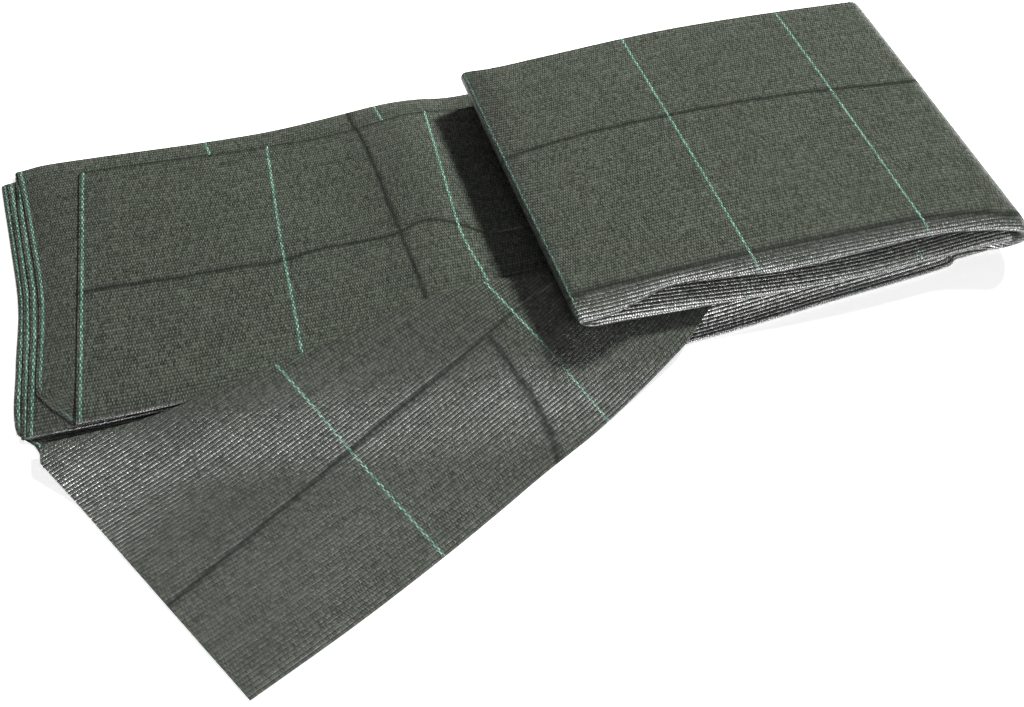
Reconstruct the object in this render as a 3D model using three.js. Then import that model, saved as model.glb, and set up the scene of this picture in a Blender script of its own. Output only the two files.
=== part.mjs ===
// A cut of woven ground and shade cloth, folded back and forth into a strip of five layers,
// the strip folded over into a bundle at one end, and its last layer pulled out as a flap.
// Millimetres, +Z up. X runs along the strip, from its open end to the bundle.
import * as THREE from 'three';

// The cloth and its layers
const clothThickness = 1.0;
const layerPitch = 1.8; // from one layer's middle to the next one's
const layerCount = 5; // the last one, layer 0, carries the flap
const flapUnderside = layerCount; // the level of the part that turns back over the strip
const foldBulge = 1.15; // a fold is this much longer than a half circle
const clothWidth = 1588; // from edge to edge, measured along the strip

// The strip's path, seen from the front: along the floor, up at the right and back over the top,
// down at the left and in again between the two
const rightTurnX = 712;
const rightTurnRadius = 17.25;
const leftTurnX = 342.5;
const leftTurnRadius = 10.5;
const bundleSkew = 20; // how far the left turn leans from front to back
const bundleDepth = 236;
const bundleMiddleY = 110;

// Where the path changes, as a distance along it
const pathRightStart = rightTurnX;
const pathRightEnd = pathRightStart + Math.PI * rightTurnRadius;
const pathLeftStart = pathRightEnd + rightTurnX - leftTurnX;
const pathLeftEnd = pathLeftStart + Math.PI * leftTurnRadius;
const bundleStart = pathRightStart - 12; // from here layer 0's front starts to roll instead
const bundleTopZ = 2 * rightTurnRadius;
const bundleInnerZ = bundleTopZ - 2 * leftTurnRadius;

// The folds at the back and at the front, by distance along the path
const backFold = [
  { along: -60, y: 254 },
  { along: 150, y: 248 },
  { along: 260, y: 257 },
  { along: 330, y: 256 },
  { along: 712, y: 259 },
  { along: 766, y: 264 },
  { along: 950, y: 267 },
  { along: 1090, y: 256 },
  { along: 1136, y: 250 },
];
const frontFold = [
  { along: -60, y: 3 },
  { along: 0, y: 0 },
  { along: 712, y: 0 },
  { along: 766, y: -4 },
  { along: 800, y: 3 },
  { along: 900, y: 6 },
  { along: 1060, y: 5 },
  { along: 1136, y: 1 },
];

// Layer 0 comes forward on the floor past the strip's front, to a nose, and turns back over it:
// it stays low as far as rampY, and is up at the strip's top just before the strip's front
const floorNose = [
  { x: -60, y: -22, rampY: -14 },
  { x: 120, y: -30, rampY: -17 },
  { x: 300, y: -40, rampY: -34 },
  { x: 440, y: -38, rampY: -35 },
  { x: 560, y: -30, rampY: -27 },
  { x: 650, y: -24, rampY: -21 },
  { x: 712, y: -17, rampY: -14 },
];
const rampEndY = -3.5;

// In the bundle it rolls round the front of the layers instead, and stands out by this much
const bundleNose = [
  { along: 700, out: 14 },
  { along: 766, out: 16 },
  { along: 830, out: 11 },
  { along: 980, out: 15 },
  { along: 1075, out: 9 },
  { along: 1136, out: 19 },
  { along: 1200, out: 19 },
  { along: 1390, out: 26 },
  { along: 1526, out: 23 },
];
const bundleTurnUnder = 30; // how far it reaches in under the bundle's top

// The ridge where layer 0 folds forward again as the flap, and the flap's free edge: a row for
// each place along the width
const ridge = [
  { width: 0, x: -27, y: -10, endX: 92, endY: -203 },
  { width: 80, x: 57, y: -7, endX: 158, endY: -177 },
  { width: 150, x: 131, y: 9, endX: 217, endY: -151 },
  { width: 200, x: 184, y: 23, endX: 261, endY: -130 },
  { width: 240, x: 227, y: 35, endX: 295, endY: -113 },
  { width: 300, x: 292, y: 44, endX: 350, endY: -87 },
  { width: 390, x: 388, y: 46, endX: 425, endY: -44 },
  { width: 450, x: 452, y: 44, endX: 471, endY: -12 },
  { width: 700, x: 665, y: 44, endX: 684, endY: -12 },
];
const flapWidth = 450; // from there on the flap lies out of sight, and ends
const ridgeBulge = 1.6;
const kneeLength = 8; // the flap's free side starts straight forward for this length
const kneeFade = 40;
const settle = { near: -8, farLeft: -62, farRight: -100 }; // where the flap comes down to the floor
const settleSoftness = 1.5;
const noseFall = 13; // over the nose it comes down within this length

// Soft rises of the layers: the strip's, as a share of its height, and the bundle top's, in mm
const stripRises = [
  { x: 266, y: 195, rx: 36, ry: 75, rise: 0.8 },
  { x: 260, y: 90, rx: 38, ry: 60, rise: 0.4 },
  { x: 120, y: 120, rx: 70, ry: 80, rise: 0.1 },
  { x: 20, y: 230, rx: 60, ry: 50, rise: 0.18 },
];
const stripLoft = 0.12;
const loftEnd = { from: 324, to: 284 }; // no rise under the bundle
const bundleRises = [
  { x: 520, y: 120, rx: 150, ry: 110, rise: 1.6 },
  { x: 333, y: 246, rx: 30, ry: 45, rise: 2.5 },
  { x: 660, y: 200, rx: 60, ry: 60, rise: 1 },
];

// The open end: how far each layer's woven edge stands from the strip's first tracer thread
const openEnd = [
  { front: -27, back: -60, from: -22, to: 70 },
  { front: -45, back: -58, from: 90, to: 250 },
  { front: -41, back: -55, from: 90, to: 250 },
  { front: -4, back: -50, from: 0, to: 270 },
  { front: -4, back: -4, from: 0, to: 250 },
];
const bundleShift = -62; // of every layer in the bundle, reached under it
const floorShiftEnd = 640; // layer 0 keeps its own up to here

// Cells of the mesh
const columnStops = [
  { width: 0, cells: 18 },
  { width: 360, cells: 3 },
  { width: flapWidth, cells: 6 },
  { width: 765, cells: 7 },
  { width: 832, cells: 8 },
  { width: 1196, cells: 6 },
  { width: 1234, cells: 5 },
  { width: clothWidth, cells: 0 },
];
const layerCells = [6, 3, 3, 3, 6];
const foldCells = 3;
const noseTurnCells = 3;
const noseRampCells = 4;
const backwardCells = 3;
const flapCells = 14;

// The middle of the footprint, which is the part's origin
const footprint = { x: 334.56, y: 33.87 };

const clothMaterial = new THREE.MeshStandardMaterial({
  name: 'dark green-grey woven tape cloth',
  color: 0x3d4640,
  roughness: 0.62,
  metalness: 0,
});

const { clamp, lerp, smoothstep } = THREE.MathUtils;

// A named column of a table at a place on its key, on a smooth curve through the rows
function tableValue(rows, key, column, at) {
  const last = rows.length - 1;
  const place = clamp(at, rows[0][key], rows[last][key]);
  const i = clamp(rows.findIndex((row) => row[key] > place) - 1, 0, last - 1);
  const low = place === rows[last][key] ? last - 1 : i;
  const slopeAt = (k) => {
    const before = rows[Math.max(k - 1, 0)];
    const after = rows[Math.min(k + 1, last)];
    return (after[column] - before[column]) / (after[key] - before[key]);
  };
  const span = rows[low + 1][key] - rows[low][key];
  const t = (place - rows[low][key]) / span;
  return (
    rows[low][column] * (1 + 2 * t) * (1 - t) ** 2 +
    rows[low + 1][column] * t ** 2 * (3 - 2 * t) +
    span * (slopeAt(low) * t * (1 - t) ** 2 - slopeAt(low + 1) * t ** 2 * (1 - t))
  );
}

function levelOf(layer) {
  return clothThickness / 2 + layerPitch * layer;
}

function sumOfRises(rises, x, y) {
  return rises.reduce(
    (sum, { x: cx, y: cy, rx, ry, rise }) =>
      sum + rise * Math.exp(-(((x - cx) / rx) ** 2) - ((y - cy) / ry) ** 2),
    0,
  );
}

// How much further apart the strip's layers lie than in the bundle
function loft(x, y) {
  const free = 1 - smoothstep(x, loftEnd.to, loftEnd.from);
  return 1 + free * (stripLoft + sumOfRises(stripRises, x, y));
}

// A point of the folded strip: along its path, across it in Y, and at a level above its outer face
function onPath(along, y, level) {
  if (along < pathRightStart) {
    const base = clothThickness / 2;
    return new THREE.Vector3(along, y, base + (level - base) * loft(along, y));
  }
  let x;
  let z;
  if (along < pathRightEnd) {
    const turn = (along - pathRightStart) / rightTurnRadius;
    x = rightTurnX + (rightTurnRadius - level) * Math.sin(turn);
    z = rightTurnRadius - (rightTurnRadius - level) * Math.cos(turn);
  } else if (along < pathLeftStart) {
    x = rightTurnX - (along - pathRightEnd);
    z = bundleTopZ - level;
  } else if (along < pathLeftEnd) {
    const turn = (along - pathLeftStart) / leftTurnRadius;
    x = leftTurnX - (leftTurnRadius - level) * Math.sin(turn);
    z = bundleTopZ - leftTurnRadius + (leftTurnRadius - level) * Math.cos(turn);
  } else {
    x = leftTurnX + (along - pathLeftEnd);
    z = bundleInnerZ + level;
  }
  const towardsLeft = clamp((rightTurnX - x) / (rightTurnX - leftTurnX), 0, 1);
  x -= (bundleSkew * towardsLeft * (y - bundleMiddleY)) / bundleDepth;
  if (along < pathLeftEnd) {
    z += sumOfRises(bundleRises, x, y) * smoothstep(z, bundleInnerZ + 4, bundleTopZ);
  }
  return new THREE.Vector3(x, y, z);
}

// How far a layer's columns are shifted along the path
function shiftOf(layer, y, along) {
  const { front, back, from, to } = openEnd[layer];
  const shift = lerp(front, back, smoothstep(y, from, to));
  const fadeFrom = layer > 0 ? loftEnd.from : floorShiftEnd;
  return lerp(shift, bundleShift, smoothstep(along, fadeFrom, bundleStart));
}

// The height of layer 0 where it lies turned back over the strip: up a ramp from its nose
function turnedBackZ(x, y) {
  const top = onPath(Math.min(x, bundleStart), Math.max(y, 0), levelOf(layerCount - 1)).z;
  const rampY = tableValue(floorNose, 'x', 'rampY', x);
  return lerp(levelOf(1), top + layerPitch, smoothstep(y, rampY, rampEndY));
}

function noseYOf(width) {
  return tableValue(floorNose, 'x', 'y', width + openEnd[0].front);
}

// The five layers: each runs between the back folds and the front folds
function layerPoint(width, layer, share) {
  const along = width + openEnd[1].front;
  const back = tableValue(backFold, 'along', 'y', along);
  const inBundle = smoothstep(along, bundleStart, pathRightEnd);
  const topLayerShort = lerp(17, 4, smoothstep(along, 700, 1000));
  const backY = [back, back, back + 2, back + 2, back - topLayerShort][layer];
  const front = tableValue(frontFold, 'along', 'y', along);
  const nose = noseYOf(width);
  const frontY = [lerp(nose, front, inBundle), front - 0.8, front - 0.8, front, front][layer];
  const forward = layer % 2 === 0 ? share : 1 - share;
  const commonY = lerp(back, layer > 0 ? front : frontY, forward);
  const y = forward === 0 ? backY : Math.min(backY, forward === 1 ? frontY : commonY);
  return onPath(width + shiftOf(layer, y, along), y, levelOf(layer));
}

// A fold from one layer to the next one below
function foldPoint(width, layer, share) {
  const along = width + openEnd[1].front;
  const runsForward = layer % 2 === 0;
  const start = layerPoint(width, layer, 1);
  const end = layerPoint(width, layer - 1, 0);
  const turn = Math.PI * share;
  const out = (runsForward ? -1 : 1) * (layerPitch / 2) * foldBulge * Math.sin(turn);
  const y = lerp(start.y, end.y, share) + out;
  const level = (levelOf(layer) + levelOf(layer - 1)) / 2 + (layerPitch / 2) * Math.cos(turn);
  const shift = lerp(shiftOf(layer, y, along), shiftOf(layer - 1, y, along), share);
  return onPath(width + shift, y, level);
}

// Layer 0 past its front: round its nose, up the ramp, and back over the strip to the ridge
function nosePoint(width, stage, share) {
  const along = width + openEnd[1].front;
  const noseY = noseYOf(width);
  const ridgeX = tableValue(ridge, 'width', 'x', width);
  const ridgeY = tableValue(ridge, 'width', 'y', width);
  const rampEnd = Math.min(rampEndY, lerp(noseY, ridgeY, 0.7));
  const half = layerPitch / 2;
  const turn = Math.PI * share;
  const y = {
    turn: noseY - half * Math.sin(turn),
    ramp: lerp(noseY, rampEnd, share),
    back: lerp(rampEnd, ridgeY, share),
  }[stage];
  const way = along < floorShiftEnd ? clamp((y - noseY) / (ridgeY - noseY), 0, 1) : 0;
  const x = lerp(width + shiftOf(0, y, along), ridgeX, way);
  const z = stage === 'turn' ? levelOf(0) + half - half * Math.cos(turn) : turnedBackZ(x, y);
  const inBundle = smoothstep(along, bundleStart, pathRightEnd);
  if (inBundle === 0) return new THREE.Vector3(x, y, z);

  // In the bundle the same rows roll round the front of the layers, and a little way in
  const turned = { turn: noseTurnCells * share, ramp: noseTurnCells + noseRampCells * share };
  const roll = (Math.PI * (turned[stage] ?? 1)) / (noseTurnCells + noseRampCells);
  const front = tableValue(frontFold, 'along', 'y', along);
  const out = tableValue(bundleNose, 'along', 'out', along);
  const middle = (levelOf(0) + levelOf(flapUnderside)) / 2;
  const rolledY = stage === 'back' ? front + bundleTurnUnder * share : front - out * Math.sin(roll);
  const rolledLevel =
    stage === 'back' ? levelOf(flapUnderside) : middle - (middle - levelOf(0)) * Math.cos(roll);
  const mixedY = lerp(y, rolledY, inBundle);
  return onPath(width + shiftOf(0, mixedY, along), mixedY, lerp(z, rolledLevel, inBundle));
}

// The ridge's fold, and the flap from there to its free edge
function flapPoint(width, stage, share) {
  const [x, y, endX, endY] = ['x', 'y', 'endX', 'endY'].map((column) =>
    tableValue(ridge, 'width', column, width),
  );
  const knee = kneeLength * Math.exp(-width / kneeFade);
  const slant = new THREE.Vector2(endX - x, endY - y + knee);
  const length = knee + slant.length();
  slant.normalize();
  const ridgeZ = turnedBackZ(x, y);
  const half = layerPitch / 2;
  if (stage === 'ridge') {
    const out = ridgeBulge * Math.sin(Math.PI * share);
    const level = ridgeZ + half - half * Math.cos(Math.PI * share);
    return new THREE.Vector3(x - out * slant.x, y + out, level);
  }
  const far = length * share;
  const straight = Math.min(far, knee);
  const flapX = x + (far - straight) * slant.x;
  const flapY = y + (far - straight) * slant.y - straight;
  return new THREE.Vector3(flapX, flapY, flapZ(width, flapX, flapY, ridgeZ + layerPitch));
}

// The flap's height: it lies on the turned-back part and its nose, or hangs free between the
// ridge and the floor, whichever is higher
function flapZ(width, x, y, ridgeTop) {
  const floor = levelOf(0);
  const noseY = tableValue(floorNose, 'x', 'y', x);
  const onNose = smoothstep(y, noseY - noseFall, noseY - 1);
  const lying = lerp(floor, turnedBackZ(x, y) + layerPitch, onNose);
  const farY = lerp(settle.farLeft, settle.farRight, smoothstep(width, 0, 300));
  const held = smoothstep(y, farY, settle.near);
  const hanging = lerp(floor, ridgeTop, held);
  return (lying + hanging + Math.hypot(lying - hanging, settleSoftness * held)) / 2;
}

// The rows of the mesh, from the top layer's back edge to the flap's free edge
function foldRows() {
  const rows = [];
  const add = (point, cells, ...what) => {
    for (let i = 1; i <= cells; i += 1) rows.push({ point, what, share: i / cells });
  };
  for (let layer = layerCount - 1; layer >= 0; layer -= 1) {
    if (layer === layerCount - 1) rows.push({ point: layerPoint, what: [layer], share: 0 });
    add(layerPoint, layerCells[layer], layer);
    if (layer > 0) add(foldPoint, foldCells, layer);
  }
  add(nosePoint, noseTurnCells, 'turn');
  add(nosePoint, noseRampCells, 'ramp');
  add(nosePoint, backwardCells, 'back');
  const ridgeRow = rows.length;
  add(flapPoint, foldCells, 'ridge');
  add(flapPoint, flapCells, 'flap');
  return { rows, ridgeRow };
}

function columnWidths() {
  const widths = [0];
  for (let i = 0; i < columnStops.length - 1; i += 1) {
    const { width: from, cells } = columnStops[i];
    const to = columnStops[i + 1].width;
    for (let k = 1; k <= cells; k += 1) widths.push(lerp(from, to, k / cells));
  }
  return widths;
}

// The sheet's normal at a grid point, from its neighbours that exist
function normalAt(points, has, row, column) {
  const pick = (r, c) => (has(r, c) ? points[r][c] : points[row][column]);
  const down = new THREE.Vector3().subVectors(pick(row + 1, column), pick(row - 1, column));
  const over = new THREE.Vector3().subVectors(pick(row, column + 1), pick(row, column - 1));
  return new THREE.Vector3().crossVectors(down, over).normalize();
}

// A closed solid of the sheet: both faces half the thickness off its middle, and a rim all round
function sheetSolid(points, ridgeRow, flapColumns) {
  const has = (r, c) =>
    r >= 0 && r < points.length && c >= 0 && c < points[0].length &&
    (r < ridgeRow || c < flapColumns);
  const positions = [];
  const index = new Map();
  points.forEach((line, r) =>
    line.forEach((point, c) => {
      if (!has(r, c)) return;
      const half = normalAt(points, has, r, c).multiplyScalar(clothThickness / 2);
      index.set(`${r},${c}`, positions.length / 3);
      positions.push(...point.clone().add(half).toArray(), ...point.clone().sub(half).toArray());
    }),
  );
  const faces = [];
  const corner = (r, c, side) => index.get(`${r},${c}`) + side;
  const quad = (a, b, c, d) => faces.push(a, b, c, a, c, d);
  const cell = (r, c) => has(r, c) && has(r + 1, c + 1) && has(r + 1, c) && has(r, c + 1);
  for (let r = 0; r < points.length - 1; r += 1) {
    for (let c = 0; c < points[0].length - 1; c += 1) {
      if (!cell(r, c)) continue;
      const ring = [[r, c], [r, c + 1], [r + 1, c + 1], [r + 1, c]];
      // All layers are split along the same diagonal in plan, so their facets lie alike
      const first = points[r + 1][c].y > points[r][c].y ? 1 : 0;
      const order = [0, 1, 2, 3].map((k) => ring[(k + first) % 4]);
      quad(...order.map(([i, k]) => corner(i, k, 1)));
      quad(...[0, 3, 2, 1].map((k) => corner(...order[k], 0)));
      const beyond = [[r - 1, c], [r, c + 1], [r + 1, c], [r, c - 1]];
      beyond.forEach(([i, k], side) => {
        if (cell(i, k)) return;
        const [from, to] = [ring[side], ring[(side + 1) % 4]];
        quad(corner(...to, 1), corner(...from, 1), corner(...from, 0), corner(...to, 0));
      });
    }
  }
  const geometry = new THREE.BufferGeometry();
  geometry.setAttribute('position', new THREE.Float32BufferAttribute(positions, 3));
  geometry.setIndex(faces);
  geometry.translate(-footprint.x, -footprint.y, 0);
  geometry.computeVertexNormals();
  return geometry;
}

function foldedCloth() {
  const { rows, ridgeRow } = foldRows();
  const widths = columnWidths();
  const flapColumns = widths.filter((width) => width <= flapWidth).length;
  const points = rows.map(({ point, what, share }) =>
    widths.map((width) => point(width, ...what, share)),
  );
  const mesh = new THREE.Mesh(sheetSolid(points, ridgeRow, flapColumns), clothMaterial);
  mesh.name = 'folded_cloth';
  return mesh;
}

const group = new THREE.Group();
group.add(foldedCloth());

export default group;
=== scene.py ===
import bpy
import numpy as np
from mathutils import Matrix


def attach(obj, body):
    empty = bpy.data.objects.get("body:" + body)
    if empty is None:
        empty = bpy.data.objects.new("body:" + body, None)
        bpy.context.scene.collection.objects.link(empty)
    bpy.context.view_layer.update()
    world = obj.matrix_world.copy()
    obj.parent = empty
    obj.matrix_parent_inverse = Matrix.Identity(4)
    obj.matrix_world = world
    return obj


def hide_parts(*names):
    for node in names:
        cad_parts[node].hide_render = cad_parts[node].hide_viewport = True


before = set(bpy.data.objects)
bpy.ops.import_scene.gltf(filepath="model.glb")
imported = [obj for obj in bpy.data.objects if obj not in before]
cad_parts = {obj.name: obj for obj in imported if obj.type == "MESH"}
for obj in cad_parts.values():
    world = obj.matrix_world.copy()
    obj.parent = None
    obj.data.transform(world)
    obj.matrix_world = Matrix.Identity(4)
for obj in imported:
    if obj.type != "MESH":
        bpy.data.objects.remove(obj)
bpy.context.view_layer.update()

perMetre = 1000.0  # millimetres

cloth = dict(
    thickness=0.7,
    base=0.5,  # the lowest layer's middle over the floor
    pitch=1.8,  # from one layer to the next
    layers=5,
    foldBulge=1.15,  # how round the folds are, 1 for a true half circle
    middle=(334.56, 33.87),  # of the footprint
    flat=(1.59, 1.56),  # metres
    area=2.17,  # square metres
)

# The strip's path seen from the front: floor, up at the right, back over the top, down, in again
path = dict(
    rightX=712, rightRadius=17.25, leftX=342.5, leftRadius=10.5,
    skew=20, depth=236, middleY=110,  # how far the bundle's left turn slants over its depth
    undercut=13,  # how far the left turn's foot and the inner run stand back to the right
    rollLead=12,  # the front starts to roll this far before the right turn
    riseFrom=4,  # the bundle's rises act from this far over the inner run
)
path["rightStart"] = path["rightX"]
path["rightEnd"] = path["rightStart"] + np.pi * path["rightRadius"]
path["leftStart"] = path["rightEnd"] + path["rightX"] - path["leftX"]
path["leftEnd"] = path["leftStart"] + np.pi * path["leftRadius"]
path["rollStart"] = path["rightStart"] - path["rollLead"]
path["topZ"] = 2 * path["rightRadius"]
path["innerZ"] = path["topZ"] - 2 * path["leftRadius"]

# Where the folds lie, by distance along the path
backFold = dict(
    along=[-60, 150, 260, 330, 712, 766, 950, 1090, 1136],
    y=[254, 248, 257, 256, 259, 264, 267, 256, 250],
)
frontFold = dict(
    along=[-60, 0, 712, 766, 800, 900, 1060, 1136],
    y=[3, 0, 0, -4, 3, 6, 5, 1],
)
floorNose = dict(
    x=[-60, 120, 300, 440, 560, 650, 712],
    y=[-21, -30, -40, -38, -30, -24, -17],
    rampY=[-13, -17, -34, -35, -27, -21, -14],
    rampEndY=-3.5, rampShare=0.7,  # its end, but at most this share of the way to the ridge
)
bundleNose = dict(
    along=[700, 740, 766, 791, 847, 915, 985, 1029, 1078, 1111, 1136, 1200, 1390, 1526],
    out=[15, 20, 21, 20, 14, 16, 18, 13, 8, 15, 19, 19, 26, 23],
    under=30,
)
ridge = dict(
    width=[0, 80, 150, 200, 240, 300, 390, 450, 700],
    x=[-27, 57, 131, 184, 227, 292, 388, 452, 665],
    y=[-10, -7, 9, 23, 35, 44, 46, 44, 44],
    endX=[92, 158, 217, 261, 295, 350, 425, 471, 684],
    endY=[-203, -177, -151, -130, -113, -87, -44, -12, -12],
    bulge=1.6,
    flapWidth=450,
    kneeLength=12, kneeFade=40,
    settleNear=-8, settleFarLeft=-62, settleFarRight=-100, settleWidth=300, softness=1.5,
    noseNear=1, noseFall=13,  # how far before the floor's nose the flap begins and ends to fall
    edgeLength=330,  # from the nose to the flap's free edge, as the weave is counted
)

# Where each layer's selvedge stands from the first tracer, front to back
openEnd = [
    dict(y=[-22, -6, 8, 60, 116, 180, 244, 258], x=[-27, -33, -46, -49, -50, -59, -69, -70]),
    dict(y=[0, 60, 116, 180, 244, 258], x=[-42, -44, -45, -54, -64, -66]),
    dict(y=[0, 60, 116, 180, 244, 260], x=[-38, -39, -40, -49, -58, -58]),
    dict(y=[0, 16, 32, 60, 116, 180, 235, 260], x=[-4, -19, -32, -33, -34, -43, -52, -57]),
    dict(y=[0, 250], x=[-4, -4]),
]
selvedge = dict(
    nose=-27, folds=-45,  # where it stands along the tables of the nose and of the folds
    lowerShort=9, lowerOver=(-60, 20),  # the two lowest layers' back fold, shorter there
    sag=[0, 0.95, 1.9, 0.9, 0.9], sagReach=15,  # each layer's edge sinks onto the next
    thirdSag=1.9, thirdOver=(4, 40),  # more of layer 3, where its edge lies on layer 2's
)
layerEnds = dict(
    topShort=17, topShortInBundle=4, bundleOver=(700, 1000),  # the top layer's cut edge
    innerBack=2, lowerFront=0.8,  # how far the inner folds stand out
)
bundleShift = dict(value=-62, fadeFrom=330, floorFadeFrom=640)

# Soft rises: the strip's are shares of its height, the bundle's are millimetres
stripRises = dict(
    x=[266, 260, 120, 20], y=[195, 90, 120, 230],
    rx=[36, 38, 70, 60], ry=[75, 60, 80, 50],
    rise=[0.8, 0.4, 0.1, 0.18],
    everywhere=0.12, endsFrom=286, endsAt=316,
    valleyX=321, valleyWidth=22, valleyDepth=0.24,
)
bundleRises = dict(
    x=[520, 333, 660], y=[120, 246, 200],
    rx=[150, 30, 60], ry=[110, 45, 60],
    rise=[1.6, 2.5, 1],
)


# 0 before start, 1 past end, and 3 t^2 - 2 t^3 between them
def smoothstep(start, end, at):
    share = np.clip((at - start) / (end - start), 0, 1)
    return share * share * (3 - 2 * share)


# The way from a to b: a + (b - a) * share
def mix(a, b, share):
    return a + (b - a) * share


# A bell: exp(-((at - middle) / reach)^2)
def bell(at, middle, reach):
    return np.exp(-(((at - middle) / reach) ** 2))


# A smooth curve through a table's rows: cubic between rows, with the slope of their neighbours
def tableValue(table, key, column, at):
    keys = np.array(table[key], float)
    values = np.array(table[column], float)
    last = len(keys) - 1
    place = np.clip(at, keys[0], keys[last])
    low = np.clip(np.searchsorted(keys, place, side="right") - 1, 0, last - 1)
    every = np.arange(last + 1)
    before, after = np.maximum(every - 1, 0), np.minimum(every + 1, last)
    slope = (values[after] - values[before]) / (keys[after] - keys[before])
    span = keys[low + 1] - keys[low]
    t = (place - keys[low]) / span
    return (
        values[low] * (1 + 2 * t) * (1 - t) ** 2
        + values[low + 1] * t**2 * (3 - 2 * t)
        + span * (slope[low] * t * (1 - t) ** 2 - slope[low + 1] * t**2 * (1 - t))
    )


# The middle of a layer over the floor: base + pitch * layer
def levelOf(layer):
    return cloth["base"] + cloth["pitch"] * layer


# The same, less a bell by width that lets the layer's selvedge sink
def edgeLevel(layer, width, y):
    more = selvedge["thirdSag"] * smoothstep(*selvedge["thirdOver"], y) if layer == 3 else 0
    return levelOf(layer) - (selvedge["sag"][layer] + more) * bell(width, 0, selvedge["sagReach"])


# The sum of round bells, each rise * exp(-(dx/rx)^2 - (dy/ry)^2)
def sumOfRises(table, x, y):
    total = 0
    for cx, cy, rx, ry, rise in zip(*(table[k] for k in ("x", "y", "rx", "ry", "rise"))):
        total = total + rise * np.exp(-(((x - cx) / rx) ** 2) - ((y - cy) / ry) ** 2)
    return total


# The strip's height as a share: 1 + its rises, which end at the bundle, - the valley's bell
def loft(x, y):
    free = 1 - smoothstep(stripRises["endsFrom"], stripRises["endsAt"], x)
    valley = bell(x, stripRises["valleyX"], stripRises["valleyWidth"])
    rise = free * (stripRises["everywhere"] + sumOfRises(stripRises, x, y))
    return 1 + rise - stripRises["valleyDepth"] * valley


# A point of the strip: straight runs and half turns one after another, level counted inwards
def onPath(along, y, level):
    along, y, level = np.broadcast_arrays(
        np.asarray(along, float), np.asarray(y, float), np.asarray(level, float)
    )
    rightR, leftR = path["rightRadius"], path["leftRadius"]
    rightTurn = (along - path["rightStart"]) / rightR
    leftTurn = (along - path["leftStart"]) / leftR
    runs = [
        along < path["rightStart"],
        along < path["rightEnd"],
        along < path["leftStart"],
        along < path["leftEnd"],
    ]
    x = np.select(
        runs,
        [
            along,
            path["rightX"] + (rightR - level) * np.sin(rightTurn),
            path["rightX"] - (along - path["rightEnd"]),
            path["leftX"] - (leftR - level) * np.sin(leftTurn),
        ],
        path["leftX"] + (along - path["leftEnd"]),
    )
    z = np.select(
        runs,
        [
            cloth["base"] + (level - cloth["base"]) * loft(along, y),
            rightR - (rightR - level) * np.cos(rightTurn),
            path["topZ"] - level,
            path["topZ"] - leftR + (leftR - level) * np.cos(leftTurn),
        ],
        path["innerZ"] + level,
    )
    turned = along >= path["rightStart"]
    towardsLeft = np.clip((path["rightX"] - x) / (path["rightX"] - path["leftX"]), 0, 1)
    skew = path["skew"] * towardsLeft * (y - path["middleY"]) / path["depth"]
    undercut = path["undercut"] * smoothstep(path["leftStart"], path["leftEnd"], along)
    x = np.where(turned, x - skew + undercut, x)
    lifted = turned & (along < path["leftEnd"])
    share = smoothstep(path["innerZ"] + path["riseFrom"], path["topZ"], z)
    rise = sumOfRises(bundleRises, x, y) * share
    return np.stack([x, y, np.where(lifted, z + rise, z)], -1)


# What a thread's width lacks to its place along the path: by its layer's open end at the left,
# blended into one value for the bundle
def shiftOf(layer, y, along):
    shift = tableValue(openEnd[layer], "y", "x", y)
    fadeFrom = bundleShift["fadeFrom"] if layer > 0 else bundleShift["floorFadeFrom"]
    return mix(shift, bundleShift["value"], smoothstep(fadeFrom, path["rollStart"], along))


# Height of the part turned back over the strip: a smooth ramp up to one layer over its top
def turnedBackZ(x, y):
    topLevel = levelOf(cloth["layers"] - 1)
    top = onPath(np.minimum(x, path["rollStart"]), np.maximum(y, 0), topLevel)[..., 2]
    rampY = tableValue(floorNose, "x", "rampY", x)
    ramp = smoothstep(rampY, floorNose["rampEndY"], y)
    return mix(levelOf(1), top + cloth["pitch"], ramp)


# Where the lowest layer turns up at the front, by the table at the thread's place
def noseYOf(width):
    return tableValue(floorNose, "x", "y", width + selvedge["nose"])


# A layer: straight lines from the back fold to the front fold, share 0 to 1 as the cloth runs
def layerRows(width, layer, share):
    along = width + selvedge["folds"]
    back = tableValue(backFold, "along", "y", along)
    inBundle = smoothstep(path["rollStart"], path["rightEnd"], along)
    toBundle = smoothstep(*layerEnds["bundleOver"], along)
    topShort = mix(layerEnds["topShort"], layerEnds["topShortInBundle"], toBundle)
    lower = back - selvedge["lowerShort"] * (1 - smoothstep(*selvedge["lowerOver"], along))
    inner = back + layerEnds["innerBack"]
    backY = [lower, lower, inner, inner, back - topShort][layer]
    front = tableValue(frontFold, "along", "y", along)
    frontOfFloor = mix(noseYOf(width), front, inBundle)
    frontOfLower = front - layerEnds["lowerFront"]
    frontY = [frontOfFloor, frontOfLower, frontOfLower, front, front][layer]
    forward = share if layer % 2 == 0 else 1 - share
    y = mix(backY, frontY, forward)
    return onPath(width + shiftOf(layer, y, along), y, edgeLevel(layer, width, y))


# A fold: half a circle from the end of one layer to the start of the next below
def foldRows(width, layer, share):
    along = width + selvedge["folds"]
    startY = layerRows(width, layer, np.ones_like(share))[..., 1]
    endY = layerRows(width, layer - 1, np.zeros_like(share))[..., 1]
    outwards = -1 if layer % 2 == 0 else 1
    upper, lower = edgeLevel(layer, width, startY), edgeLevel(layer - 1, width, endY)
    half = (upper - lower) / 2
    y = mix(startY, endY, share) + outwards * half * cloth["foldBulge"] * np.sin(np.pi * share)
    level = (upper + lower) / 2 + half * np.cos(np.pi * share)
    shift = mix(shiftOf(layer, y, along), shiftOf(layer - 1, y, along), share)
    return onPath(width + shift, y, level)


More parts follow.
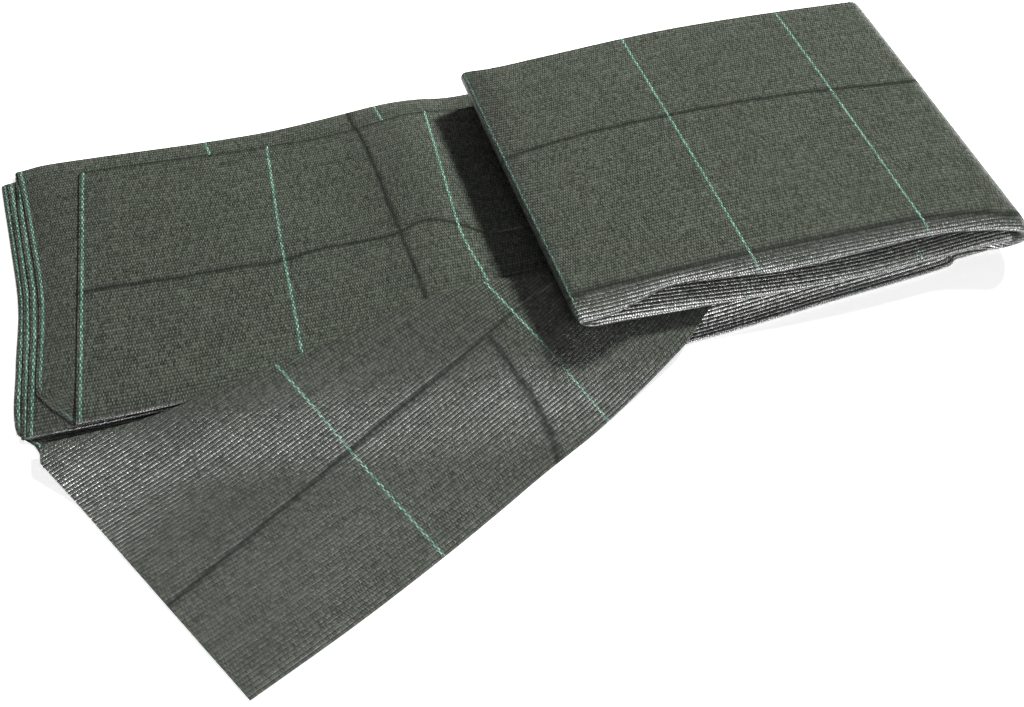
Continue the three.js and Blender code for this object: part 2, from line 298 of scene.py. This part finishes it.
# Round the floor layer's nose, up the ramp and back to the ridge; in the bundle, round its front
def noseRows(width, stage, share):
    along = width + selvedge["folds"]
    noseY = noseYOf(width)
    ridgeX = tableValue(ridge, "width", "x", width)
    ridgeY = tableValue(ridge, "width", "y", width)
    rampEnd = np.minimum(floorNose["rampEndY"], mix(noseY, ridgeY, floorNose["rampShare"]))
    half = cloth["pitch"] / 2
    if stage == "turn":
        y = noseY - half * np.sin(np.pi * share)
    elif stage == "ramp":
        y = mix(noseY, rampEnd, share)
    else:
        y = mix(rampEnd, ridgeY, share)
    way = np.where(
        along < bundleShift["floorFadeFrom"], np.clip((y - noseY) / (ridgeY - noseY), 0, 1), 0
    )
    x = mix(width + shiftOf(0, y, along), ridgeX, way)
    z = levelOf(0) + half - half * np.cos(np.pi * share) if stage == "turn" else turnedBackZ(x, y)
    inBundle = smoothstep(path["rollStart"], path["rightEnd"], along)

    # in the bundle, half a circle: three sevenths of it in the turn, the others in the ramp
    sevenths = {"turn": 3 * share, "ramp": 3 + 4 * share, "back": 7 + 0 * share}[stage]
    roll = np.pi * sevenths / 7
    front = tableValue(frontFold, "along", "y", along)
    out = tableValue(bundleNose, "along", "out", along)
    centre = (levelOf(0) + levelOf(cloth["layers"])) / 2
    rolledY = front + bundleNose["under"] * share if stage == "back" else front - out * np.sin(roll)
    rolledLevel = centre - (centre - levelOf(0)) * np.cos(roll)
    mixedY = mix(y, rolledY, inBundle)
    rolled = onPath(width + shiftOf(0, mixedY, along), mixedY, mix(z, rolledLevel, inBundle))
    plain = np.stack(np.broadcast_arrays(x, y, z), -1)
    return np.where((inBundle > 0)[..., None], rolled, plain)


# The ridge, half a circle, and the flap: each thread runs forward to a knee, then straight to
# its own place on the free edge
def flapRows(width, stage, share):
    x, y, endX, endY = (
        tableValue(ridge, "width", column, width) for column in ("x", "y", "endX", "endY")
    )
    knee = ridge["kneeLength"] * np.exp(-width / ridge["kneeFade"])
    slantX, slantY = endX - x, endY - y + knee
    slant = np.hypot(slantX, slantY)
    ridgeZ = turnedBackZ(x, y)
    half = cloth["pitch"] / 2
    if stage == "ridge":
        out = ridge["bulge"] * np.sin(np.pi * share)
        level = ridgeZ + half - half * np.cos(np.pi * share)
        return np.stack(np.broadcast_arrays(x - out * slantX / slant, y + out, level), -1)
    far = (knee + slant) * share
    straight = np.minimum(far, knee)
    flapX = x + (far - straight) * slantX / slant
    flapY = y - straight + (far - straight) * slantY / slant
    flapZ = flapHeight(width, flapX, flapY, ridgeZ + cloth["pitch"])
    return np.stack(np.broadcast_arrays(flapX, flapY, flapZ), -1)


# The softened higher of two heights, lying on the turned-back part or hanging to the floor:
# half of their sum and of the root of their difference squared + softness squared
def flapHeight(width, x, y, ridgeTop):
    floor = levelOf(0)
    noseY = tableValue(floorNose, "x", "y", x)
    onNose = smoothstep(noseY - ridge["noseFall"], noseY - ridge["noseNear"], y)
    lying = mix(floor, turnedBackZ(x, y) + cloth["pitch"], onNose)
    toRight = smoothstep(0, ridge["settleWidth"], width)
    farY = mix(ridge["settleFarLeft"], ridge["settleFarRight"], toRight)
    held = smoothstep(farY, ridge["settleNear"], y)
    hanging = mix(floor, ridgeTop, held)
    return (lying + hanging + np.hypot(lying - hanging, ridge["softness"] * held)) / 2


# The grid's columns, by width, and its rows: (name, function, what, cells)
columnStops = dict(
    width=[0, 360, 450, 765, 832, 1196, 1234, 1588],
    cells=[66, 12, 32, 16, 62, 14, 24],
)
rowPlan = [
    ("layer4", layerRows, 4, 50),
    ("fold", foldRows, 4, 6),
    ("layer3", layerRows, 3, 16),
    ("fold", foldRows, 3, 6),
    ("layer2", layerRows, 2, 6),
    ("fold", foldRows, 2, 6),
    ("layer1", layerRows, 1, 6),
    ("fold", foldRows, 1, 6),
    ("layer0", layerRows, 0, 46),
    ("nose", noseRows, "turn", 8),
    ("nose", noseRows, "ramp", 12),
    ("turnedBack", noseRows, "back", 6),
    ("ridge", flapRows, "ridge", 6),
    ("flap", flapRows, "flap", 56),
]


# All rows one after another, each of rowPlan's with count cells of equal share
def gridOfCloth():
    stops, cells = columnStops["width"], columnStops["cells"]
    width = np.concatenate(
        [np.linspace(a, b, n, endpoint=False) for a, b, n in zip(stops, stops[1:], cells)]
        + [[stops[-1]]]
    )
    rows, names = [], []
    for name, surface, what, count in rowPlan:
        first = 1 if rows else 0
        share = np.arange(first, count + 1)[:, None] / count
        rows.append(surface(width[None, :], what, share))
        names += [name] * share.shape[0]
    return width, np.concatenate(rows), np.array(names)


# The length of cloth run so far, the mean of all columns; on the flap it is counted back from
# the free edge, so that the ribs lie along that edge
def clothLength(width, points, names):
    steps = np.linalg.norm(np.diff(points, axis=0), axis=-1)
    run = np.concatenate([np.zeros((1, points.shape[1])), np.cumsum(steps, axis=0)])
    noseEnd, ridgeRow = np.argmax(names == "turnedBack") - 1, np.argmax(names == "ridge")
    along = np.repeat(run.mean(axis=1)[:, None], points.shape[1], axis=1)
    along[ridgeRow:] = along[noseEnd, 0] + ridge["edgeLength"] + (run - run[-1])[ridgeRow:]
    share = np.linspace(0, 1, ridgeRow + 1 - noseEnd)[:, None]
    along[noseEnd : ridgeRow + 1] = mix(along[noseEnd], along[ridgeRow], share)
    bundle = width > ridge["flapWidth"]
    floorEnd = np.argmax(names == "nose") - 1
    own = along[floorEnd] + run - run[floorEnd]
    along[floorEnd:ridgeRow, bundle] = own[floorEnd:ridgeRow, bundle]
    return along


# Old creases from the cloth's packing: y by x along it, x by y across it
creases = dict(
    strip=dict(
        x=[-60, 3, 66, 108, 147, 183, 235, 262, 280, 312, 345],
        y=[112, 113, 108, 107, 105, 110, 108, 115, 111, 95, 92],
    ),
    bundle=dict(x=[300, 335, 401, 478, 551, 612, 700], y=[136, 144, 155, 159, 160, 158, 150]),
    bundleFront=dict(
        x=[330, 357, 406, 485, 567, 638, 692, 709],
        y=[-6, 3, 5, 7, 7, 6, -1, -8],
    ),
    flap=dict(x=[20, 54, 174, 267, 311, 343, 420], y=[-153, -133, -62, -13, 14, 28, 52]),
    across=dict(y=[-20, 46, 117, 208, 248, 270], x=[252, 248, 241, 231, 223, 221]),
    flapAcross=dict(y=[-111, -68, -2, 30], x=[310, 307, 285, 272]),
)
creaseReach = dict(
    far=60,  # on hidden rows
    passedOver=(0.39, 0.69),  # the share of the inner rows in which the sign changes
    flapSlope=0.87, frontSlope=0.75, acrossSlope=0.6,  # from mm of y or x to mm of distance
    acrossEnd=-8, acrossJump=40,  # the flap's cross line ends past its long one
    cutEdgeShadowSlope=1.4, cutEdgeShadowAt=0.6,  # a painted shadow line beside the top layer's cut edge
)


# Distances to the creases, slope * (y - the line's y at x), above zero behind or right of them
# and far away on hidden rows; the front crease's distance also marks a painted shadow line beside
# the top layer's cut edge
def creaseDistances(points, names):
    x, y = points[..., 0], points[..., 1]
    row = names[:, None]
    top, flap = row == "layer4", (row == "ridge") | (row == "flap")
    outside = (row == "layer0") | (row == "nose")
    behind = (row == "turnedBack") | flap
    lastTop, firstFloor = np.flatnonzero(names == "layer4")[-1], np.argmax(names == "layer0")
    rowShare = (np.arange(len(names)) - lastTop) / (firstFloor - lastTop)
    passed = smoothstep(*creaseReach["passedOver"], rowShare)[:, None]
    far = creaseReach["far"] + 0 * x
    hidden = np.where(row == "turnedBack", -far, mix(-far, far, passed))
    onStrip = y - tableValue(creases["strip"], "x", "y", x)
    onBundle = y - tableValue(creases["bundle"], "x", "y", x)
    onFlap = creaseReach["flapSlope"] * (tableValue(creases["flap"], "x", "y", x) - y)
    front = creaseReach["frontSlope"] * (y - tableValue(creases["bundleFront"], "x", "y", x))
    across = x - tableValue(creases["across"], "y", "x", y)
    flapAcross = x - tableValue(creases["flapAcross"], "y", "x", y)
    jump = creaseReach["acrossJump"] * smoothstep(0, creaseReach["acrossEnd"], onFlap)
    flapAcross = creaseReach["acrossSlope"] * flapAcross + jump * np.sign(flapAcross)
    # painted shadow: a dark line just in front of the top layer's cut edge
    cutEdgeShadow = creaseReach["cutEdgeShadowSlope"] * (y[:1] - y) - creaseReach["cutEdgeShadowAt"]
    return dict(
        creaseMiddle=np.select([top, outside, flap], [onStrip, onBundle, onFlap], hidden),
        creaseFrontAndEdgeShadow=np.select([top, outside, behind], [cutEdgeShadow, front, -far], far),
        creaseAcross=np.where(flap, flapAcross, across),
    )


tracerHidden = dict(width=60, thirdY=36)  # near the selvedge; layer 3's in front of thirdY


# How much of the green tracer shows: 0 at the selvedge from the nose to the flap and where
# layer 3 swings in, else 1
def tracerShare(width, points, names):
    edge = (width < tracerHidden["width"])[None, :]
    late = np.isin(names, ["nose", "turnedBack", "ridge", "flap"])[:, None]
    swing = (names == "layer3")[:, None] & (points[..., 1] < tracerHidden["thirdY"])
    return np.where(edge & (late | swing), 0.0, 1.0)


ribLook = dict(
    front=1.35, frontOver=(1, -5),  # the bundle's front, from its crease on
    under=2.2, underHeight=14,  # and below it
    leftTurn=0.6, leftOver=(14, -4),  # from the left turn's start on
    edge=0.6, edgeOver=(14, 0),  # the strip's front edge
    flap=0.52,  # the flap, without its bells
    right=0.4, rightOver=(270, 380), low=0.15, lowOver=(-110, -170),  # less of it there
)
ribBells = dict(x=[-4, 355], y=[-52, -68], rx=[52, 50], ry=[46, 26], rise=[1.15, 0.85])


# How far the ribs stand out: little on the pressed tops, whole round the front, and on the flap
# by bells at its upper left edge and its far end, fading towards the bundle and the tip
def ribRelief(points, names):
    x, y, z = points[..., 0], points[..., 1], points[..., 2]
    look, nose = ribLook, (names == "nose")[:, None]
    outside = nose | (names == "layer0")[:, None]
    late = np.isin(names, ["turnedBack", "ridge", "flap"])[:, None]
    fromCrease = y - tableValue(creases["bundleFront"], "x", "y", x)
    front = look["front"] * smoothstep(*look["frontOver"], fromCrease)
    under = nose & (x < path["rightX"]) & (z < look["underHeight"])
    front = np.where(under, look["under"], front)
    leftTurn = look["leftTurn"] * smoothstep(*look["leftOver"], x - path["leftX"])
    edge = look["edge"] * smoothstep(*look["edgeOver"], y)
    right = look["right"] * smoothstep(*look["rightOver"], x)
    low = look["low"] * smoothstep(*look["lowOver"], y)
    onFlap = look["flap"] + sumOfRises(ribBells, x, y) - right - low
    return np.where(late, onFlap, np.where(outside, np.maximum(front, leftTurn), edge))


threadPull = dict(
    hump=11, humpX=298, humpReach=60, humpOver=(35, 110),
    front=-3, frontX=152, frontReach=50, frontOver=(140, 20),
    edge=1.8, edgeIn=(1060, 1130), edgeOut=(1250, 1170),
)


# The threads' place in the cloth, pulled aside on top by a bell at the hump and one at the front,
# each fading along y, and all over by a step in and out at the bundle's edge
def pulledAcross(width, points, names):
    x, y, pull = points[..., 0], points[..., 1], threadPull
    along = width[None, :] + bundleShift["value"]
    hump = pull["hump"] * bell(x, pull["humpX"], pull["humpReach"])
    front = pull["front"] * bell(x, pull["frontX"], pull["frontReach"])
    onTop = hump * smoothstep(*pull["humpOver"], y) + front * smoothstep(*pull["frontOver"], y)
    edge = smoothstep(*pull["edgeIn"], along) * smoothstep(*pull["edgeOut"], along)
    top = (names == "layer4")[:, None]
    return width[None, :] + np.where(top, onTop, 0) + pull["edge"] * edge


# The sheet: a point at each place of the grid, a cell between four, none right of the flap; its
# UV map is the cloth laid flat, in metres
def meshOfCloth():
    width, points, names = gridOfCloth()
    across, along = pulledAcross(width, points, names), clothLength(width, points, names)
    ridgeRow = np.argmax(names == "ridge") - 1
    flapColumns = np.count_nonzero(width <= ridge["flapWidth"])
    used = np.ones(points.shape[:2], bool)
    used[ridgeRow + 1 :, flapColumns:] = False
    index = np.cumsum(used).reshape(used.shape) - 1
    whole = used[:-1, :-1] & used[1:, 1:] & used[:-1, 1:] & used[1:, :-1]
    quads = np.stack([index[:-1, :-1], index[:-1, 1:], index[1:, 1:], index[1:, :-1]], -1)[whole]
    placed = (points - [*cloth["middle"], 0])[used] / perMetre
    mesh = bpy.data.meshes.new("folded_cloth_sheet")
    mesh.from_pydata(placed.tolist(), [], quads.tolist())
    corners = quads.ravel()
    uv = mesh.uv_layers.new(name="cloth")
    flatUv = np.stack([across[used][corners], along[used][corners]], -1) / perMetre
    uv.data.foreach_set("uv", flatUv.ravel())
    attributes = creaseDistances(points, names)
    attributes["tracerShare"] = tracerShare(width, points, names)
    attributes["ribRelief"] = ribRelief(points, names)
    for name, values in attributes.items():
        mesh.attributes.new(name, "FLOAT", "POINT").data.foreach_set("value", values[used])
    mesh.polygons.foreach_set("use_smooth", np.ones(len(quads), bool))
    mesh.update()
    # sharp edges all round, so that the rim doesn't bend the light on the cloth beside it
    edges = np.zeros(len(mesh.loops), np.int32)
    mesh.loops.foreach_get("edge_index", edges)
    rim = np.bincount(edges, minlength=len(mesh.edges)) == 1
    mesh.attributes.new("sharp_edge", "BOOLEAN", "EDGE").data.foreach_set("value", rim)
    sheet = bpy.data.objects.new("folded_cloth_sheet", mesh)
    bpy.context.collection.objects.link(sheet)
    solid = sheet.modifiers.new("thickness", "SOLIDIFY")
    solid.thickness = cloth["thickness"] / perMetre
    solid.offset = 0
    print("cloth:", len(placed), "points,", len(quads), "cells")
    return sheet


sheet = meshOfCloth()


# A node whose inputs, in order or by name, are numbers or sockets of other nodes
def addNode(tree, kind, values=(), named=None, **settings):
    node = tree.nodes.new(kind)
    for name, value in settings.items():
        setattr(node, name, value)
    pairs = list(zip(node.inputs, values))
    pairs += [(node.inputs[name], value) for name, value in (named or {}).items()]
    for socket, value in pairs:
        if isinstance(value, bpy.types.NodeSocket):
            tree.links.new(value, socket)
        else:
            socket.default_value = value
    return node


# A math node's result
def addMath(tree, operation, *values):
    return addNode(tree, "ShaderNodeMath", values, operation=operation).outputs[0]


# Two colours mixed, low + (high - low) * share; a mix node's sockets 6 and 7 are its colours
def addMix(tree, share, low, high):
    node = addNode(tree, "ShaderNodeMix", (share,), data_type="RGBA")
    for place, value in {6: low, 7: high}.items():
        if isinstance(value, bpy.types.NodeSocket):
            tree.links.new(value, node.inputs[place])
        else:
            node.inputs[place].default_value = (*value, 1)
    return node.outputs[2]


# A node group from its named inputs and outputs: (group, its input sockets, its output sockets)
def newGroup(name, inputs, outputs):
    group = bpy.data.node_groups.new(name, "ShaderNodeTree")
    for label, kind in inputs.items():
        group.interface.new_socket(label, in_out="INPUT", socket_type=kind)
    for label, kind in outputs.items():
        group.interface.new_socket(label, in_out="OUTPUT", socket_type=kind)
    given = group.nodes.new("NodeGroupInput").outputs
    return group, given, group.nodes.new("NodeGroupOutput").inputs


number, vector = "NodeSocketFloat", "NodeSocketVector"

weaveLook = dict(
    tapePower=0.5, ribPower=0.7,  # of the crowns
    warp=(0.6, 0.4), weft=(0.2, 0.28),  # heights: the other crown * first + second
    lean=0.9,  # each crossing's own tilt
    crossingTone=0.8, weftTone=0.2,
)


# Plain weave: tapes of both systems in turn on top, like a chequerboard. A tape's crown is
# sin(pi * place in it) to a small power; each crossing has its own tone and its own slight tilt
def tapeWeaveGroup():
    look = weaveLook
    inputs = dict.fromkeys(("Across", "Along", "Tape", "Rib"), number)
    outputs = dict.fromkeys(("Height", "Rib Crown", "Warp On Top", "Tone", "Tape Number"), number)
    group, given, result = newGroup("tapeWeave", inputs, outputs)

    def math(operation, *values):
        return addMath(group, operation, *values)

    def crown(place, power):
        return math("POWER", math("SINE", math("MULTIPLY", math("FRACT", place), np.pi)), power)

    tape = math("DIVIDE", given["Across"], given["Tape"])
    rib = math("DIVIDE", given["Along"], given["Rib"])
    tapeNumber, ribNumber = math("FLOOR", tape), math("FLOOR", rib)
    onTop = math("FLOORED_MODULO", math("ADD", tapeNumber, ribNumber), 2.0)
    tapeCrown, ribCrown = crown(tape, look["tapePower"]), crown(rib, look["ribPower"])
    warpHeight = math("MULTIPLY", tapeCrown, math("MULTIPLY_ADD", ribCrown, *look["warp"]))
    weftHeight = math("MULTIPLY", ribCrown, math("MULTIPLY_ADD", tapeCrown, *look["weft"]))
    height = math("MULTIPLY_ADD", onTop, math("SUBTRACT", warpHeight, weftHeight), weftHeight)

    crossing = addNode(group, "ShaderNodeCombineXYZ", (tapeNumber, ribNumber, 0.5)).outputs[0]
    noise = addNode(group, "ShaderNodeTexWhiteNoise", (crossing,), noise_dimensions="3D")
    tilt = addNode(group, "ShaderNodeSeparateColor", (noise.outputs["Color"],))
    lean = math("MULTIPLY", math("SUBTRACT", tilt.outputs[1], 0.5), math("FRACT", rib))
    wefts = addNode(group, "ShaderNodeTexWhiteNoise", named={"W": ribNumber}, noise_dimensions="1D")
    ownTone = math("MULTIPLY", noise.outputs["Value"], look["crossingTone"])
    results = {
        "Height": math("MULTIPLY_ADD", lean, look["lean"], height),
        "Rib Crown": ribCrown,
        "Warp On Top": onTop,
        "Tone": math("MULTIPLY_ADD", wefts.outputs["Value"], look["weftTone"], ownTone),
        "Tape Number": tapeNumber,
    }
    for name, socket in results.items():
        group.links.new(socket, result[name])
    return group


creaseLook = dict(waver=2.2, waverScale=60.0, width=2.5)  # width and waver in mm


# A crease: a bell, exp(-(distance / width)^2), its line wavering by a noise
def creaseGroup():
    inputs = {"Distance": number, "Width": number, "Position": vector}
    group, given, result = newGroup("crease", inputs, {"Mask": number})
    placed = {"Vector": given["Position"], "Scale": creaseLook["waverScale"]}
    noise = addNode(group, "ShaderNodeTexNoise", named=placed)
    waver = addMath(group, "SUBTRACT", noise.outputs[0], 0.5)
    distance = addMath(group, "MULTIPLY_ADD", waver, creaseLook["waver"], given["Distance"])
    share = addMath(group, "DIVIDE", distance, given["Width"])
    square = addMath(group, "MULTIPLY", share, share)
    mask = addMath(group, "EXPONENT", addMath(group, "MULTIPLY", square, -1.0))
    group.links.new(mask, result["Mask"])
    return group


# A pair (a, b) stands for value * a + b
clothLook = dict(
    dark=(0.006, 0.008, 0.0055), light=(0.088, 0.099, 0.079),
    tracerDark=(0.012, 0.060, 0.042), tracerGreen=(0.24, 0.43, 0.335),
    tapeWidth=1.0, ribWidth=2.9,  # mm
    tracerEvery=150.0, tracerFirst=2.0, tracerTapes=2,  # in tapes
    reliefMost=1.1, gapRelief=0.5, gapDepth=(0.78, 0.2), gapPower=2.2,
    tone=(0.85, 0.62), patches=(0.35, 0.82), patchScale=14.0, patchDetail=5.0,
    tracerTone=(0.6, 0.5), tracerOnTop=(0.6, 0.4),
    # the creases' darkening is painted shade in their grooves and beside the top layer's cut edge
    roughness=0.36, creaseRoughness=0.75, creasePaintedShade=0.8, creaseDull=0.7,
    shine=(0.32, 0.18), shineTone=(1.3, 0.4),
    weaveDepth=0.00022, ribDepth=0.0006, creaseDepth=0.0003,  # metres
)


# Lightness is the weave's height, darker between ribs that stand out, times each crossing's
# tone, soft patches and painted shade along the creases; the shine grows with the ribs' relief
def clothMaterial():
    look = clothLook
    material = bpy.data.materials.new("woven_tape_cloth")
    material.use_nodes = True
    tree = material.node_tree
    shader = tree.nodes["Principled BSDF"]

    def math(operation, *values):
        return addMath(tree, operation, *values)

    def attribute(name):
        return addNode(tree, "ShaderNodeAttribute", attribute_name=name).outputs["Fac"]

    uv = addNode(tree, "ShaderNodeUVMap", uv_map="cloth")
    place = addNode(tree, "ShaderNodeTexCoord").outputs["Object"]
    parts = addNode(tree, "ShaderNodeSeparateXYZ", (uv.outputs[0],)).outputs
    threads = {
        "Across": math("MULTIPLY", parts[0], perMetre),
        "Along": math("MULTIPLY", parts[1], perMetre),
        "Tape": look["tapeWidth"],
        "Rib": look["ribWidth"],
    }
    weave = addNode(tree, "ShaderNodeGroup", named=threads, node_tree=tapeWeaveGroup()).outputs

    # the creases together, at most whole
    crease = creaseGroup()
    creased = 0.0
    for name in ("creaseMiddle", "creaseFrontAndEdgeShadow", "creaseAcross"):
        line = {"Distance": attribute(name), "Width": creaseLook["width"], "Position": place}
        mask = addNode(tree, "ShaderNodeGroup", named=line, node_tree=crease).outputs["Mask"]
        creased = math("MAXIMUM", creased, mask)

    # lightness: dark in the gaps between tapes, each crossing its own tone, soft patches over all
    cloud = {"Vector": place, "Scale": look["patchScale"], "Detail": look["patchDetail"]}
    patches = addNode(tree, "ShaderNodeTexNoise", named=cloud).outputs[0]
    relief = attribute("ribRelief")
    depthShare = math("MINIMUM", math("MAXIMUM", relief, 0.0), look["reliefMost"])
    gapShare = math("POWER", depthShare, look["gapRelief"])
    gapDepth = math("MULTIPLY_ADD", gapShare, *look["gapDepth"])
    wideGaps = math("SUBTRACT", math("POWER", weave["Rib Crown"], look["gapPower"]), 1.0)
    ribs = math("MULTIPLY_ADD", wideGaps, gapDepth, 1.0)
    gaps = math("MULTIPLY", ribs, weave["Height"])
    toned = math("MULTIPLY", gaps, math("MULTIPLY_ADD", weave["Tone"], *look["tone"]))
    patched = math("MULTIPLY", toned, math("MULTIPLY_ADD", patches, *look["patches"]))
    # painted shade: darker along the creases and beside the top layer's cut edge
    lightness = math("MULTIPLY", patched, math("MULTIPLY_ADD", creased, -look["creasePaintedShade"], 1.0))
    tapes = addMix(tree, lightness, look["dark"], look["light"])

    # the tracer: two tapes next to each other in green, one on top at each rib in turn
    offset = math("SUBTRACT", weave["Tape Number"], look["tracerFirst"])
    tapeOfTracer = math("FLOORED_MODULO", offset, look["tracerEvery"])
    within = math("LESS_THAN", tapeOfTracer, look["tracerTapes"] - 0.5)
    isTracer = math("MULTIPLY", within, attribute("tracerShare"))
    onTop = math("MULTIPLY_ADD", weave["Warp On Top"], *look["tracerOnTop"])
    pale = math("MULTIPLY_ADD", weave["Tone"], *look["tracerTone"])
    pale = math("MULTIPLY", weave["Height"], pale)
    tracer = addMix(tree, pale, look["tracerDark"], look["tracerGreen"])
    color = addMix(tree, math("MULTIPLY", isTracer, onTop), tapes, tracer)
    tree.links.new(color, shader.inputs["Base Color"])

    depth = math("MULTIPLY_ADD", depthShare, look["ribDepth"], look["weaveDepth"])
    height = math("MULTIPLY", weave["Height"], depth)
    height = math("MULTIPLY_ADD", creased, -look["creaseDepth"], height)
    bump = addNode(tree, "ShaderNodeBump", named={"Distance": 1.0, "Height": height})
    tree.links.new(bump.outputs[0], shader.inputs["Normal"])
    dullness = look["creaseRoughness"] - look["roughness"]
    roughness = math("MULTIPLY_ADD", creased, dullness, look["roughness"])
    tree.links.new(roughness, shader.inputs["Roughness"])
    shine = math("MULTIPLY_ADD", relief, *look["shine"])
    broken = math("MULTIPLY", shine, math("MULTIPLY_ADD", weave["Tone"], *look["shineTone"]))
    gloss = math("MULTIPLY", broken, math("MULTIPLY_ADD", creased, -look["creaseDull"], 1.0))
    tree.links.new(gloss, shader.inputs["Specular IOR Level"])
    return material


sheet.data.materials.append(clothMaterial())
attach(sheet, "root")
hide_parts("folded_cloth")
print("cloth placed")

stageLook = dict(
    floorSize=6.0, floorColor=(0.86, 0.86, 0.86), floorRoughness=0.9, floorGlow=0.62,
    worldStrength=0.21,
)


# The pale floor, a square that also glows a little
def addFloor():
    half = stageLook["floorSize"] / 2
    mesh = bpy.data.meshes.new("floor")
    corners = [(-half, -half, 0), (half, -half, 0), (half, half, 0), (-half, half, 0)]
    mesh.from_pydata(corners, [], [(0, 1, 2, 3)])
    floor = bpy.data.objects.new("floor", mesh)
    bpy.context.collection.objects.link(floor)
    material = bpy.data.materials.new("pale_floor")
    material.use_nodes = True
    shader = material.node_tree.nodes["Principled BSDF"]
    shader.inputs["Base Color"].default_value = (*stageLook["floorColor"], 1)
    shader.inputs["Roughness"].default_value = stageLook["floorRoughness"]
    shader.inputs["Emission Color"].default_value = (1, 1, 1, 1)
    shader.inputs["Emission Strength"].default_value = stageLook["floorGlow"]
    mesh.materials.append(material)


# Lights on the body colour only, or on the tapes' gloss only; places in metres
lights = dict(
    key=dict(place=(2.56, 2.16, 2.0), size=0.51, watts=520, gloss=False),
    front=dict(place=(0.1, -1.9, 0.95), size=1.7, watts=420, body=False),
    above=dict(place=(0.0, -1.2, 1.9), size=1.0, watts=120, body=False),
)


# A round soft light that faces the origin, so its backward axis points along its place
def addLight(name, place, size, watts, body=True, gloss=True):
    light = bpy.data.lights.new(name, "AREA")
    light.shape = "DISK"
    light.size = size
    light.energy = watts
    lamp = bpy.data.objects.new(name, light)
    lamp.visible_diffuse, lamp.visible_glossy = body, gloss
    aim = -np.array(place) / np.linalg.norm(place)
    side = np.cross(aim, (0, 0, 1))
    side /= np.linalg.norm(side)
    up = np.cross(side, aim)
    lamp.matrix_world = Matrix(
        [[side[i], up[i], -aim[i], place[i]] for i in range(3)] + [[0, 0, 0, 1]]
    )
    bpy.context.collection.objects.link(lamp)


# An even white world
def addWorld():
    world = bpy.data.worlds.new("studio")
    world.use_nodes = True
    background = world.node_tree.nodes["Background"]
    background.inputs["Color"].default_value = (1, 1, 1, 1)
    background.inputs["Strength"].default_value = stageLook["worldStrength"]
    bpy.context.scene.world = world


addFloor()
addWorld()
for name, light in lights.items():
    addLight(name, **light)
bpy.context.scene.view_settings.view_transform = "Standard"
print("stage and lights placed")

camera = dict(
    focal=762, width=1024,  # pixels
    sensor=36,  # mm
    clipStart=0.01,  # metres
    place=(214.12, -287.24, 489.01),  # mm, from the same point as the cloth
    right=(0.9649832, -0.26105203, 0.02567617),
    up=(0.21293427, 0.83673694, 0.50450994),
    forward=(0.15318754, 0.48137628, -0.86302402),
)


# The camera's matrix has its right, up and backward directions as columns, then its place
def addCamera():
    lens = bpy.data.cameras.new("camera")
    lens.sensor_width = camera["sensor"]
    lens.lens = camera["sensor"] * camera["focal"] / camera["width"]
    lens.clip_start = camera["clipStart"]
    view = bpy.data.objects.new("camera", lens)
    middle = (*cloth["middle"], 0)
    place = [(camera["place"][i] - middle[i]) / perMetre for i in range(3)]
    axes = zip(camera["right"], camera["up"], camera["forward"], place)
    rows = [[right, up, -forward, at] for right, up, forward, at in axes]
    view.matrix_world = Matrix(rows + [[0, 0, 0, 1]])
    bpy.context.collection.objects.link(view)
    bpy.context.scene.camera = view


addCamera()
print("camera placed")
